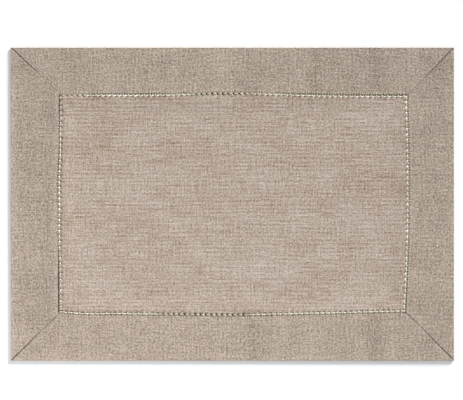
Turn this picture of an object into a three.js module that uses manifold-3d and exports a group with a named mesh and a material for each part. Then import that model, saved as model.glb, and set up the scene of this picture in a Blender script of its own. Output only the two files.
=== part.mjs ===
// A hemstitched placemat lying flat. Units are millimetres and +Z is up. The table is the plane
// z = 0, +X runs along the mat's length, +Y towards its back edge, and the origin is its middle.
//
// It is made of five cut pieces of cloth. Four border strips are folded in half along the mat's
// outer edge and mitred into a frame. Their two layers part at the inner edge and hold the raw
// edge of the centre panel. Just inside the border the panel is pierced by the hemstitch row.
import * as THREE from "three";
import { mergeVertices } from "three/addons/utils/BufferGeometryUtils.js";
import Module from "manifold-3d";

const wasm = await Module();
wasm.setup();

// Overall size of the mat, and the usual width of its border.
const MAT_LENGTH = 508;
const MAT_WIDTH = 359;
const BORDER_WIDTH = 53;

// Cloth thicknesses, and the air left between layers and at the mitres.
const PANEL_CLOTH = 1.0;
const BORDER_CLOTH = 0.7;
const LAYER_GAP = 0.3;
const MITRE_GAP = 0.3;

// The panel's raw edge lies this far behind the border's inner edge. The top layer of the strip
// stays level over it, then falls. Cut edges of the strip are turned with a small round.
const TUCK = 6;
const RIDGE_LEVEL = 6.6;
const RIDGE_FALL = 7;
const EDGE_ROUND = 0.2;

// The panel leaves the border above the table and sinks to it over this width.
const PANEL_SINK = 14;

// The hemstitch row: square holes drawn open in the panel, beside the border's inner edge.
const ROW_TO_BORDER = 2.2;
const HOLE_PITCH = 6.2;
const HOLE_WIDTH = 2.2;

// How finely the curved shapes are cut.
const STRIP_STATIONS = 12;
const FOLD_STEPS = 6;
const FALL_SHARES = [0, 0.3, 0.7, 1];
const SINK_SHARES = [0.25, 0.5, 0.8, 1];
const PANEL_COLUMNS = 8;
const PANEL_ROWS = 5;

const PANEL_COLOUR = 0xb9a899;
const BORDER_COLOUR = 0xae9f91;
const CLOTH_ROUGHNESS = 0.95;

// Heights that follow from the cloth.
const BORDER_HEIGHT = 2 * BORDER_CLOTH + LAYER_GAP;
const PANEL_LIFT = BORDER_CLOTH + LAYER_GAP;
const LIP_UNDER = PANEL_LIFT + PANEL_CLOTH + LAYER_GAP;
const RIDGE_HEIGHT = LIP_UNDER + BORDER_CLOTH;

// Where the hemstitch row runs. Each side bows outwards a little. "share" goes from left to right
// on the back and front sides, and from front to back on the left and right sides.
const ROW_BACK = [
  { share: 0, place: 124.6 },
  { share: 0.2, place: 124.6 },
  { share: 0.5, place: 126.5 },
  { share: 0.7, place: 124.6 },
  { share: 0.85, place: 123.4 },
  { share: 1, place: 123.4 },
];
const ROW_FRONT = [
  { share: 0, place: -123.4 },
  { share: 0.15, place: -125.2 },
  { share: 0.5, place: -126.9 },
  { share: 0.7, place: -125.4 },
  { share: 1, place: -122.4 },
];
const ROW_LEFT = [
  { share: 0, place: -196.7 },
  { share: 0.5, place: -198.5 },
  { share: 0.75, place: -197.2 },
  { share: 1, place: -196.7 },
];
const ROW_RIGHT = [
  { share: 0, place: 196.8 },
  { share: 0.25, place: 199.6 },
  { share: 0.75, place: 200.6 },
  { share: 1, place: 199 },
];

// The row's usual length and width, which turn a share of it into millimetres.
const ROW_LENGTH = 396;
const ROW_WIDTH = 248;

const { lerp, smoothstep } = THREE.MathUtils;

// The smooth curve through the points of one table.
function curveThrough(table) {
  const shares = table.map((row) => row.share);
  const places = table.map((row) => row.place);
  const curve = new THREE.CubicInterpolant(shares, places, 1, [0]);
  return (share) => curve.evaluate(share)[0];
}

const rowBack = curveThrough(ROW_BACK);
const rowFront = curveThrough(ROW_FRONT);
const rowLeft = curveThrough(ROW_LEFT);
const rowRight = curveThrough(ROW_RIGHT);

// A point of the mat in shares of the row: 0 and 1 lie on it, and less or more lies outside it.
function matPoint(u, v) {
  const x = lerp(rowLeft(v), rowRight(v), u);
  const y = lerp(rowFront(u), rowBack(u), v);
  return new THREE.Vector2(x, y);
}

// A solid from its corners' coordinates and its triangles' corner numbers, each one flat list.
function solidOf(coordinates, corners) {
  const vertProperties = new Float32Array(coordinates);
  const triVerts = new Uint32Array(corners);
  return new wasm.Manifold(new wasm.Mesh({ numProp: 3, vertProperties, triVerts }));
}

function pieceOf(name, solid, colour) {
  const { vertProperties, triVerts } = solid.getMesh();
  const geometry = new THREE.BufferGeometry();
  geometry.setAttribute("position", new THREE.BufferAttribute(vertProperties, 3));
  geometry.setIndex(new THREE.BufferAttribute(triVerts, 1));
  geometry.computeVertexNormals();
  const settings = { color: colour, roughness: CLOTH_ROUGHNESS, metalness: 0 };
  const mesh = new THREE.Mesh(geometry, new THREE.MeshStandardMaterial(settings));
  mesh.name = name;
  return mesh;
}

// Border strips

// The strip's section, a closed line round the folded cloth. Each point has a height, and is
// measured across the strip from its outer or from its inner edge.
function stripSection() {
  const section = [];
  const fromOuter = (distance, z) => section.push({ edge: "outer", distance, z });
  const fromInner = (distance, z) => section.push({ edge: "inner", distance, z });
  const ridge = (share, low, high) => {
    fromInner(RIDGE_LEVEL + RIDGE_FALL * (1 - share), lerp(low, high, smoothstep(share, 0, 1)));
  };
  const foldRadius = BORDER_HEIGHT / 2;

  // Along the underside, round the fold and over the ridge to the top layer's edge.
  fromInner(EDGE_ROUND, 0);
  for (let step = 0; step <= FOLD_STEPS; step++) {
    const angle = (Math.PI * step) / FOLD_STEPS;
    fromOuter(foldRadius * (1 - Math.sin(angle)), foldRadius * (1 - Math.cos(angle)));
  }
  for (const share of FALL_SHARES) ridge(share, BORDER_HEIGHT, RIDGE_HEIGHT);
  fromInner(EDGE_ROUND, RIDGE_HEIGHT);
  fromInner(0, RIDGE_HEIGHT - EDGE_ROUND);
  fromInner(0, LIP_UNDER + EDGE_ROUND);
  fromInner(EDGE_ROUND, LIP_UNDER);

  // Back along the inside, round the inner fold and out over the bottom layer.
  for (const share of FALL_SHARES.toReversed()) ridge(share, PANEL_LIFT, LIP_UNDER);
  fromOuter(foldRadius, PANEL_LIFT);
  fromOuter(foldRadius - LAYER_GAP / 2, foldRadius);
  fromOuter(foldRadius, BORDER_CLOTH);
  fromInner(EDGE_ROUND, BORDER_CLOTH);
  fromInner(0, BORDER_CLOTH - EDGE_ROUND);
  fromInner(0, EDGE_ROUND);
  return section;
}

// The border's inner edge in shares of the row, before the row's start and past its end.
const BEFORE_U = -ROW_TO_BORDER / ROW_LENGTH;
const BEFORE_V = -ROW_TO_BORDER / ROW_WIDTH;
const PAST_U = 1 - BEFORE_U;
const PAST_V = 1 - BEFORE_V;

// The strips in order round the mat, each with the outer corner and the inner corner it starts at.
const CORNERS = [
  { strip: "border_front", x: -1, y: -1, u: BEFORE_U, v: BEFORE_V },
  { strip: "border_right", x: 1, y: -1, u: PAST_U, v: BEFORE_V },
  { strip: "border_back", x: 1, y: 1, u: PAST_U, v: PAST_V },
  { strip: "border_left", x: -1, y: 1, u: BEFORE_U, v: PAST_V },
];

const outerCorner = ({ x, y }) => new THREE.Vector2((x * MAT_LENGTH) / 2, (y * MAT_WIDTH) / 2);

// One strip: its section carried from one mitre to the next, half a mitre gap short at both.
function borderStrip(from, to) {
  const section = stripSection();
  const count = section.length;
  const start = outerCorner(from);
  const end = outerCorner(to);
  const along = end.clone().sub(start).normalize();
  const inward = new THREE.Vector2(-along.y, along.x);
  const points = [];
  for (let station = 0; station <= STRIP_STATIONS; station++) {
    const share = station / STRIP_STATIONS;
    const outer = start.clone().lerp(end, share);
    const inner = matPoint(lerp(from.u, to.u, share), lerp(from.v, to.v, share));
    const width = inner.clone().sub(outer).dot(inward);
    const drawIn = along.clone().multiplyScalar(MITRE_GAP * Math.SQRT1_2 * (1 - 2 * share));
    for (const { edge, distance, z } of section) {
      const across = edge === "outer" ? distance / width : 1 - distance / width;
      const place = outer.clone().lerp(inner, across).add(drawIn);
      points.push(place.x, place.y, z);
    }
  }
  const triangles = [];
  for (let here = 0; here < STRIP_STATIONS * count; here++) {
    const next = (here + 1) % count === 0 ? here + 1 - count : here + 1;
    triangles.push([here, here + count, next], [next, here + count, next + count]);
  }
  // Both ends are the section itself, filled in.
  const outline = section.map(({ edge, distance, z }) => {
    return new THREE.Vector2(edge === "outer" ? distance : BORDER_WIDTH - distance, z);
  });
  const last = STRIP_STATIONS * count;
  for (const [a, b, c] of THREE.ShapeUtils.triangulateShape(outline, [])) {
    triangles.push([a, c, b], [last + a, last + b, last + c]);
  }
  return solidOf(points, triangles.flat());
}

// Centre panel

// The grid lines across the panel one way, as shares of the row: close together from the raw edge
// to where the panel touches the table, and evenly spread between.
function panelLines(span, steps) {
  const sinking = SINK_SHARES.map((share) => lerp(ROW_TO_BORDER, -PANEL_SINK, share));
  const edge = [ROW_TO_BORDER + TUCK, ROW_TO_BORDER, ...sinking].map((outside) => -outside / span);
  const middle = [];
  for (let step = 1; step < steps; step++) {
    middle.push(lerp(edge.at(-1), 1 - edge.at(-1), step / steps));
  }
  return [...edge, ...middle, ...edge.map((share) => 1 - share).reverse()];
}

// The height of the panel's underside: held up at the border, on the table further in.
function panelFoot(u, v) {
  const outsideU = (Math.abs(u - 0.5) - 0.5) * ROW_LENGTH;
  const outsideV = (Math.abs(v - 0.5) - 0.5) * ROW_WIDTH;
  return PANEL_LIFT * smoothstep(Math.max(outsideU, outsideV), -PANEL_SINK, ROW_TO_BORDER);
}

// The cloth before it is pierced: one grid twice, a thickness apart, joined round the raw edge.
function panelCloth() {
  const columns = panelLines(ROW_LENGTH, PANEL_COLUMNS);
  const rows = panelLines(ROW_WIDTH, PANEL_ROWS);
  const points = [];
  for (const lift of [0, PANEL_CLOTH]) {
    for (const v of rows) {
      for (const u of columns) {
        const { x, y } = matPoint(u, v);
        points.push(x, y, panelFoot(u, v) + lift);
      }
    }
  }
  const lastColumn = columns.length - 1;
  const lastRow = rows.length - 1;
  const top = columns.length * rows.length;
  const at = (row, column) => row * columns.length + column;
  const triangles = [];
  for (let row = 0; row < lastRow; row++) {
    for (let column = 0; column < lastColumn; column++) {
      const corners = [
        at(row, column),
        at(row, column + 1),
        at(row + 1, column + 1),
        at(row + 1, column),
      ];
      // Near a corner of the panel, where two slopes meet, the square is split along their ridge.
      const rising = column < lastColumn / 2 === row < lastRow / 2;
      const [a, b, c, d] = rising ? corners : [...corners.slice(1), corners[0]];
      triangles.push([a, c, b], [a, d, c]);
      triangles.push([top + a, top + b, top + c], [top + a, top + c, top + d]);
    }
  }
  const rim = [];
  for (let column = 0; column < lastColumn; column++) rim.push(at(0, column));
  for (let row = 0; row < lastRow; row++) rim.push(at(row, lastColumn));
  for (let column = lastColumn; column > 0; column--) rim.push(at(lastRow, column));
  for (let row = lastRow; row > 0; row--) rim.push(at(row, 0));
  rim.forEach((here, index) => {
    const next = rim[(index + 1) % rim.length];
    triangles.push([here, next, top + next], [here, top + next, top + here]);
  });
  return solidOf(points, triangles.flat());
}

// The middles of the holes, evenly along the row, with one at each of its corners.
function holePlaces() {
  const alongLength = Math.round(ROW_LENGTH / HOLE_PITCH);
  const alongWidth = Math.round(ROW_WIDTH / HOLE_PITCH);
  const places = [];
  for (let hole = 0; hole <= alongLength; hole++) {
    places.push(matPoint(hole / alongLength, 0), matPoint(hole / alongLength, 1));
  }
  for (let hole = 1; hole < alongWidth; hole++) {
    places.push(matPoint(0, hole / alongWidth), matPoint(1, hole / alongWidth));
  }
  return places;
}

// An upright peg from below the cloth to above it, which cuts one hole.
function holePeg({ x, y }) {
  const peg = new THREE.BoxGeometry(HOLE_WIDTH, HOLE_WIDTH, 2 * RIDGE_HEIGHT);
  peg.deleteAttribute("normal");
  peg.deleteAttribute("uv");
  peg.translate(x, y, 0);
  const { attributes, index } = mergeVertices(peg);
  return solidOf(attributes.position.array, index.array);
}

function centrePanel() {
  return holePlaces().reduce((cloth, place) => cloth.subtract(holePeg(place)), panelCloth());
}

const placemat = new THREE.Group();
placemat.add(pieceOf("centre_panel", centrePanel(), PANEL_COLOUR));
CORNERS.forEach((corner, index) => {
  const nextCorner = CORNERS[(index + 1) % CORNERS.length];
  placemat.add(pieceOf(corner.strip, borderStrip(corner, nextCorner), BORDER_COLOUR));
});

export default placemat;
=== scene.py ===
"""A hemstitched cloth placemat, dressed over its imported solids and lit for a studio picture.

The mat is five pieces of cloth: a slubby centre panel, and four border strips that are folded in
half along the mat's outer edge and mitred into a frame. A row of drawn holes with cream thread
wrapped round the bars between them runs along the border's inner edge. Shapes are worked out in
millimetres and put into Blender in metres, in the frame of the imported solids: +X along the mat,
+Y towards its back edge and +Z up from the table.
"""

import logging
from dataclasses import dataclass
from enum import Enum
from typing import Sequence

import bpy
import numpy as np
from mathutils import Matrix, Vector


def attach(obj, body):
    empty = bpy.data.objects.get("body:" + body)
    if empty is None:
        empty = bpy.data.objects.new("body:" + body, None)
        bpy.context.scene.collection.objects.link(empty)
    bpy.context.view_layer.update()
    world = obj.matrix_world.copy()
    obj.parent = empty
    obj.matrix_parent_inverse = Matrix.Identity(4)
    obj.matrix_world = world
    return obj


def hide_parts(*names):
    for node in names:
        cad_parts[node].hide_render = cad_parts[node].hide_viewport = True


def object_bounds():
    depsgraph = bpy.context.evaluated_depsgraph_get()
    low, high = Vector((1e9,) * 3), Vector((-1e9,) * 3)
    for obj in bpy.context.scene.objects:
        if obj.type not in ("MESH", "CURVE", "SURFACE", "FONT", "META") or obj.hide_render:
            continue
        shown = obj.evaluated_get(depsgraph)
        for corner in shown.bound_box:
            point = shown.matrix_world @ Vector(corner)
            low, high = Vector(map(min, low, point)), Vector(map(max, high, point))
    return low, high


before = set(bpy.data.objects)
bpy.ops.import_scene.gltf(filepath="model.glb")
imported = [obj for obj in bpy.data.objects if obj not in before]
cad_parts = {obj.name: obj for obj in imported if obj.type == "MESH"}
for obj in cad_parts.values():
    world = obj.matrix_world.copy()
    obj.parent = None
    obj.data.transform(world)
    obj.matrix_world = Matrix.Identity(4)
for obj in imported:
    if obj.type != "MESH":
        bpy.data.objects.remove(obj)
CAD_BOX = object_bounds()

log = logging.getLogger("placemat")

MM = 0.001

# The hemstitch row's usual length and width, and how far it lies inside the border's lip.
ROW_LENGTH = 396.0
ROW_WIDTH = 248.0
ROW_TO_LIP = 2.2
HOLE_PITCH = 6.2
# The sine and the cosine of a mitre's 45 degrees.
DIAGONAL = np.sqrt(0.5)

# Heights of the cloth layers where the border holds the panel.
UNDER_LAYER = 0.65
BORDER_HEIGHT = 1.7
PANEL_LIFT = 0.75
PANEL_CLOTH = 0.9
PANEL_GROOVE = 0.6
TOP_LAYER = 0.55
LIP_FOOT = PANEL_LIFT + PANEL_CLOTH - PANEL_GROOVE


# Curves and noise


def curve_through(shares: Sequence[float], values: Sequence[float], at: np.ndarray) -> np.ndarray:
    """Read a smooth curve through a few points.

    Each stretch is a cubic whose slope at a point is the average slope of the stretches beside it.

    Args:
        shares: Where the points lie, rising.
        values: The value at each point.
        at: Where to read the curve; beyond the ends it keeps the end values.

    Returns:
        The values of the curve.
    """
    x, y = np.asarray(shares, float), np.asarray(values, float)
    slopes = np.gradient(y, x)
    at = np.clip(at, x[0], x[-1])
    left = np.clip(np.searchsorted(x, at, side="right") - 1, 0, len(x) - 2)
    step = x[left + 1] - x[left]
    t = (at - x[left]) / step
    rise = t * t * (3 - 2 * t)
    leave = t * (1 - t) ** 2 * step * slopes[left]
    arrive = t * t * (t - 1) * step * slopes[left + 1]
    return y[left] + (y[left + 1] - y[left]) * rise + leave + arrive


def ramp(value: np.ndarray, low: float | np.ndarray, high: float | np.ndarray) -> np.ndarray:
    """Rise smoothly from 0 at low to 1 at high, as 3t^2 - 2t^3."""
    t = np.clip((value - low) / (high - low), 0, 1)
    return t * t * (3 - 2 * t)


def value_noise(x: np.ndarray, y: np.ndarray, seed: int) -> np.ndarray:
    """Smooth random heights from -1 to 1 with features about one unit wide.

    Random numbers on a repeating 64 by 64 lattice are blended with smooth weights.

    Args:
        x: First coordinate, in units of the feature width.
        y: Second coordinate, in units of the feature width.
        seed: Which random lattice to use.

    Returns:
        The heights.
    """
    size = 64
    lattice = np.random.default_rng(seed).uniform(-1, 1, (size, size))
    column, row = np.floor(x).astype(int), np.floor(y).astype(int)
    across, along = ramp(x - column, 0, 1), ramp(y - row, 0, 1)
    near = lattice[row % size, column % size] * (1 - across)
    near = near + lattice[row % size, (column + 1) % size] * across
    far = lattice[(row + 1) % size, column % size] * (1 - across)
    far = far + lattice[(row + 1) % size, (column + 1) % size] * across
    return near * (1 - along) + far * along


def bell(value: np.ndarray, half: float) -> np.ndarray:
    """Fall from 1 at 0 towards 0 on both sides, as e^(-(value / half)^2)."""
    return np.exp(-((value / half) ** 2))


@dataclass(frozen=True)
class Wave:
    """One layer of uneven height on cloth.

    Attributes:
        height: How far it raises and lowers the cloth, in millimetres.
        x: Length of its features along the mat or the strip.
        y: Length of its features across.
    """

    height: float
    x: float
    y: float


def uneven(waves: Sequence[Wave], x: np.ndarray, y: np.ndarray, seed: int) -> np.ndarray:
    """Add up layers of noise, each from a random lattice of its own.

    Args:
        waves: The layers.
        x: Places along.
        y: Places across.
        seed: The first layer's random lattice.

    Returns:
        Heights in millimetres.
    """
    layers = [
        wave.height * value_noise(x / wave.x, y / wave.y, seed + number)
        for number, wave in enumerate(waves)
    ]
    return np.sum(layers, axis=0)


# Meshes


@dataclass
class Shape:
    """Corners and faces of a mesh, with what its material reads.

    Attributes:
        points: Corners in millimetres, one row each.
        quads: Four-cornered faces.
        fans: Faces that all have some other number of corners, or None.
        crease: Painted shade in creases, seams and hollows at each corner, from 0 to 1, or None.
        shade: How much lighter, or darker below 0, the cloth is at each corner, partly painted
            light and shade, or None.
        cloth: Place of each corner on the flat cloth in millimetres, or None.
    """

    points: np.ndarray
    quads: np.ndarray
    fans: np.ndarray | None = None
    crease: np.ndarray | None = None
    shade: np.ndarray | None = None
    cloth: np.ndarray | None = None

    def build(self, name: str) -> bpy.types.Object:
        """Make a smooth mesh object at the origin.

        Args:
            name: The object's name.

        Returns:
            The new object, linked to the scene.
        """
        groups = [self.quads] + ([] if self.fans is None else [self.fans])
        corners = np.concatenate([group.ravel() for group in groups])
        sizes = np.concatenate([np.full(len(group), group.shape[1]) for group in groups])
        starts = np.concatenate([[0], np.cumsum(sizes)[:-1]])
        mesh = bpy.data.meshes.new(name)
        mesh.vertices.add(len(self.points))
        mesh.vertices.foreach_set("co", (self.points * MM).astype(np.float32).ravel())
        mesh.loops.add(len(corners))
        mesh.loops.foreach_set("vertex_index", corners.astype(np.int32))
        mesh.polygons.add(len(sizes))
        mesh.polygons.foreach_set("loop_start", starts.astype(np.int32))
        mesh.polygons.foreach_set("use_smooth", np.ones(len(sizes), bool))
        for layer_name, values in (("crease", self.crease), ("shade", self.shade)):
            if values is not None:
                layer = mesh.attributes.new(layer_name, "FLOAT", "POINT")
                layer.data.foreach_set("value", values.astype(np.float32).ravel())
        if self.cloth is not None:
            layer = mesh.uv_layers.new(name="cloth")
            layer.data.foreach_set("uv", (self.cloth[corners] * MM).astype(np.float32).ravel())
        mesh.update(calc_edges=True)
        mesh.validate()
        thing = bpy.data.objects.new(name, mesh)
        bpy.context.scene.collection.objects.link(thing)
        return thing


def rim_edges(faces: np.ndarray, count: int) -> np.ndarray:
    """Find the edges that only one face has.

    Args:
        faces: Four-cornered faces, all turning the same way.
        count: The number of corners in the mesh.

    Returns:
        One row for each such edge, in the direction in which its face turns.
    """
    edges = np.stack([faces, np.roll(faces, -1, axis=1)], axis=2).reshape(-1, 2)
    forward = edges[:, 0] * count + edges[:, 1]
    backward = edges[:, 1] * count + edges[:, 0]
    return edges[~np.isin(forward, backward)]


# The hemstitch row


@dataclass(frozen=True)
class RowPoint:
    """One place along a side of the hemstitch row.

    Attributes:
        share: Where it is, from left to right or from front to back.
        place: How far the row lies from the mat's middle.
        under: How far the border's under layer reaches inside the middle of the row.
        long: Half the length of a hole along the row.
        wide: Half the width of a hole across the row.
        slant: How far a hole is turned, in degrees.
        crease: How dark the painted shade in the crease at the border's lip is, from 0 to 1.
        lip: How high the border's lip stands over the panel.
        bite: How far the bites of the thread reach into the border.
        mouth: How far the lip lies outside the middle of the row.
        wrap: How thick the thread on the bars is, as a share of the usual.
        shade: How much lighter, or darker below 0, the panel is just inside the row, partly painted
            shade.
    """

    share: float
    place: float
    under: float
    long: float
    wide: float
    slant: float
    crease: float
    lip: float
    bite: float
    mouth: float
    wrap: float
    shade: float


class Edge(Enum):
    """The four sides of the mat, anticlockwise, by the way that each faces outwards.

    Places beside them are given as (s, r), the millimetres along the mat's length and width from
    the hemstitch row's front left corner, on a mat whose row is straight.
    """

    FRONT = (0, -1)
    RIGHT = (1, 0)
    BACK = (0, 1)
    LEFT = (-1, 0)

    @property
    def lies_along_x(self) -> bool:
        """Whether the side runs along +X, as the long sides do."""
        return self.value[0] == 0

    @property
    def sign(self) -> int:
        """1 on the right and back sides, which face +X and +Y, and -1 on the others."""
        return sum(self.value)

    @property
    def row_length(self) -> float:
        """The usual length of this side of the hemstitch row."""
        return ROW_LENGTH if self.lies_along_x else ROW_WIDTH

    @property
    def node(self) -> str:
        """The name of the side's border strip."""
        return f"border_{self.name.lower()}"

    def share(self, s: np.ndarray, r: np.ndarray) -> np.ndarray:
        """Turn places into shares of this side, from left to right or from front to back."""
        return (s if self.lies_along_x else r) / self.row_length

    def outward(self, s: np.ndarray, r: np.ndarray) -> np.ndarray:
        """How far places lie outside this side of the row; inside it is negative."""
        across, span = (r, ROW_WIDTH) if self.lies_along_x else (s, ROW_LENGTH)
        return across - span if self.sign > 0 else -across

    def beside(self, along: np.ndarray, outward: np.ndarray) -> tuple[np.ndarray, np.ndarray]:
        """Turn places beside this side of the row into s and r.

        Args:
            along: Millimetres from the side's left or front end.
            outward: Millimetres outside the row's middle.

        Returns:
            s and r.
        """
        span = ROW_WIDTH if self.lies_along_x else ROW_LENGTH
        across = span + outward if self.sign > 0 else -outward
        return (along, across) if self.lies_along_x else (across, along)


def row_points(*rows: tuple[float, ...]) -> tuple[RowPoint, ...]:
    """Name the columns of a side's table, in the order in which RowPoint lists them."""
    return tuple(RowPoint(*row) for row in rows)


ROW_TABLES: dict[Edge, tuple[RowPoint, ...]] = {
    # share, place, under, long, wide, slant, crease, lip, bite, mouth, wrap, shade
    Edge.BACK: row_points(
        (0.00, 124.6, 1.6, 0.8, 0.50, 0, 0.00, 0.60, 1.4, 2.2, 0.60, -0.10),
        (0.05, 124.6, 0.5, 1.1, 0.50, 6, 0.00, 0.60, 1.8, 2.2, 0.70, -0.14),
        (0.10, 124.6, -1.6, 1.6, 0.52, 12, 0.35, 0.70, 2.4, 2.2, 1.00, -0.14),
        (0.36, 125.4, -0.4, 1.6, 0.50, 12, 0.22, 0.65, 2.4, 2.2, 1.00, -0.08),
        (0.39, 125.9, 0.3, 1.3, 0.52, 4, 0.00, 0.60, 2.2, 2.2, 0.90, -0.08),
        (0.42, 126.3, 3.0, 1.3, 0.85, 0, 0.00, 0.60, 2.2, 2.2, 0.85, -0.08),
        (0.53, 126.5, 3.0, 1.3, 0.85, 0, 0.00, 0.60, 2.2, 2.2, 0.85, -0.08),
        (0.56, 126.4, -1.6, 1.3, 0.60, 3, 0.00, 0.60, 2.2, 2.2, 0.85, -0.08),
        (0.60, 125.9, -1.6, 1.3, 0.46, 6, 0.10, 0.60, 2.2, 2.2, 0.90, -0.08),
        (0.68, 124.8, -1.6, 1.6, 0.46, 13, 0.55, 0.80, 2.4, 2.2, 1.00, -0.12),
        (0.85, 123.4, -1.6, 1.6, 0.39, 14, 0.50, 0.80, 2.8, 2.2, 1.00, -0.04),
        (1.00, 123.4, -1.6, 1.6, 0.47, 14, 0.60, 0.90, 2.8, 2.2, 1.00, -0.06),
    ),
    # share, place, under, long, wide, slant, crease, lip, bite, mouth, wrap, shade
    Edge.FRONT: row_points(
        (0.00, -123.4, -1.6, 1.4, 0.68, 0, 0.00, 0.60, 2.2, 2.2, 0.80, -0.02),
        (0.05, -125.1, -1.6, 1.6, 0.58, 0, 0.00, 0.60, 2.6, 2.2, 0.90, 0.00),
        (0.18, -125.4, -1.6, 1.4, 0.50, 0, 0.00, 0.60, 2.6, 2.2, 0.90, 0.00),
        (0.27, -126.0, -1.0, 1.2, 0.50, 0, 0.00, 0.60, 2.6, 2.2, 0.95, 0.00),
        (0.33, -126.2, 3.0, 1.2, 0.80, 0, 0.00, 0.60, 2.6, 2.2, 0.85, 0.00),
        (0.51, -127.1, 3.0, 1.3, 0.85, 0, 0.00, 0.60, 2.6, 2.2, 0.85, 0.00),
        (0.57, -126.6, -1.6, 1.3, 0.54, 4, 0.50, 0.75, 2.4, 2.2, 0.90, 0.00),
        (0.63, -125.9, -1.6, 1.4, 0.56, 6, 0.00, 0.60, 2.4, 2.2, 0.90, 0.03),
        (0.78, -124.6, -1.6, 1.4, 0.54, 8, 0.00, 0.60, 2.4, 2.2, 1.00, 0.06),
        (1.00, -122.4, -1.6, 1.5, 0.55, 8, 0.50, 0.70, 2.4, 2.2, 1.00, 0.00),
    ),
    # share, place, under, long, wide, slant, crease, lip, bite, mouth, wrap, shade
    Edge.LEFT: row_points(
        (0.00, -196.7, -1.6, 1.5, 0.52, -35, 0.90, 1.35, 0.2, 2.9, 0.50, 0.00),
        (0.15, -196.9, -1.6, 1.5, 0.52, -35, 0.85, 1.35, 0.2, 2.9, 0.50, 0.00),
        (0.27, -197.7, -1.6, 1.4, 0.55, -25, 0.50, 1.10, 1.2, 2.6, 0.55, 0.00),
        (0.36, -198.3, -1.6, 1.1, 0.95, 0, 0.40, 0.90, 1.3, 2.2, 0.50, -0.10),
        (0.50, -198.3, -1.6, 1.1, 1.05, 0, 0.60, 0.90, 1.3, 2.2, 0.50, -0.16),
        (0.62, -198.3, -1.6, 1.1, 1.02, 0, 0.80, 0.95, 1.3, 2.2, 0.50, -0.22),
        (0.75, -197.2, -1.6, 1.1, 0.80, 0, 0.75, 0.90, 1.3, 2.2, 0.70, -0.16),
        (0.86, -196.8, -1.6, 1.2, 0.56, -20, 0.65, 1.00, 1.2, 2.2, 0.60, -0.12),
        (0.91, -196.7, -1.6, 1.2, 0.50, -30, 0.75, 1.30, 0.2, 2.2, 0.50, -0.10),
        (1.00, -196.7, 0.5, 1.1, 0.45, -30, 0.85, 1.30, 0.2, 2.2, 0.45, -0.10),
    ),
    # share, place, under, long, wide, slant, crease, lip, bite, mouth, wrap, shade
    Edge.RIGHT: row_points(
        (0.00, 196.8, -1.6, 1.3, 0.62, 10, 0.70, 0.90, 2.0, 2.2, 0.90, 0.00),
        (0.10, 198.0, -1.6, 1.3, 0.70, 10, 0.60, 0.85, 2.4, 2.2, 1.00, 0.00),
        (0.25, 199.6, -1.6, 1.1, 0.84, 0, 0.35, 0.75, 2.4, 2.2, 0.80, -0.03),
        (0.75, 200.6, -1.6, 1.1, 0.84, 0, 0.35, 0.75, 2.4, 2.2, 0.60, -0.12),
        (1.00, 199.0, -1.6, 1.1, 0.95, 0, 0.45, 0.75, 2.0, 2.2, 0.60, -0.14),
    ),
}


@dataclass(frozen=True)
class HemstitchRow:
    """Where the hemstitch row runs, and what it is like along each side.

    The real row bows, so a place (s, r) is a blend of the real left and right, and front and
    back, sides of the row.

    Attributes:
        between_holes: How low the wave beside the holes falls between two of them, thinning the
            painted shade.
        fall: How far the panel takes to sink to the table.
        fall_start: Where it starts to sink, at most, in millimetres outside the row's middle.
        under_clear: How far past the border's under layer it starts to sink, at least.
    """

    between_holes: float = 0.3
    fall: float = 22.0
    fall_start: float = 1.4
    under_clear: float = 0.6

    def reading(self, edge: Edge, column: str, share: np.ndarray) -> np.ndarray:
        """Read one column of a side's table.

        Args:
            edge: The side.
            column: The name of the column.
            share: Where to read it, as a share of the side.

        Returns:
            The column's smooth values there.
        """
        table = ROW_TABLES[edge]
        return curve_through([p.share for p in table], [getattr(p, column) for p in table], share)

    def place(self, s: np.ndarray, r: np.ndarray) -> tuple[np.ndarray, np.ndarray]:
        """Turn places on the straight mat into x and y on the real one.

        Args:
            s: Millimetres along the length from the row's left side.
            r: Millimetres along the width from the row's front side.

        Returns:
            x and y in millimetres from the mat's middle.
        """
        u, v = s / ROW_LENGTH, r / ROW_WIDTH
        left, right = self.reading(Edge.LEFT, "place", v), self.reading(Edge.RIGHT, "place", v)
        front, back = self.reading(Edge.FRONT, "place", u), self.reading(Edge.BACK, "place", u)
        return left + (right - left) * u, front + (back - front) * v

    def outside(self, s: np.ndarray, r: np.ndarray) -> np.ndarray:
        """How far places lie outside the row, in millimetres; inside it is negative."""
        return np.max([edge.outward(s, r) for edge in Edge], axis=0)

    def nearest(self, column: str, s: np.ndarray, r: np.ndarray) -> np.ndarray:
        """Read one column of the table of whichever side each place is nearest to.

        Args:
            column: The name of the column.
            s: Millimetres along the length.
            r: Millimetres along the width.

        Returns:
            The values, one for each place.
        """
        outward = np.stack([edge.outward(s, r) for edge in Edge])
        readings = [self.reading(edge, column, edge.share(s, r)) for edge in Edge]
        return np.choose(outward.argmax(axis=0), readings)

    def beside_holes(self, s: np.ndarray, r: np.ndarray) -> np.ndarray:
        """A cosine wave along the row, 1 beside each hole and between_holes between two.

        Args:
            s: Millimetres along the length.
            r: Millimetres along the width.

        Returns:
            The wave at each place.
        """
        to_sides = np.maximum(Edge.LEFT.outward(s, r), Edge.RIGHT.outward(s, r))
        to_ends = np.maximum(Edge.FRONT.outward(s, r), Edge.BACK.outward(s, r))
        turns = np.where(to_sides > to_ends, r, s) / HOLE_PITCH
        low = self.between_holes
        return (1 + low) / 2 + (1 - low) / 2 * np.cos(2 * np.pi * turns)

    def panel_foot(self, s: np.ndarray, r: np.ndarray) -> np.ndarray:
        """Height of the panel's underside.

        It is held at PANEL_LIFT in the border and over the border's under layer, and sinks
        smoothly to the table inside them.

        Args:
            s: Millimetres along the length.
            r: Millimetres along the width.

        Returns:
            Heights in millimetres.
        """
        start = np.minimum(self.fall_start, -self.nearest("under", s, r) - self.under_clear)
        return PANEL_LIFT * ramp(self.outside(s, r), start - self.fall, start)


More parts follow.
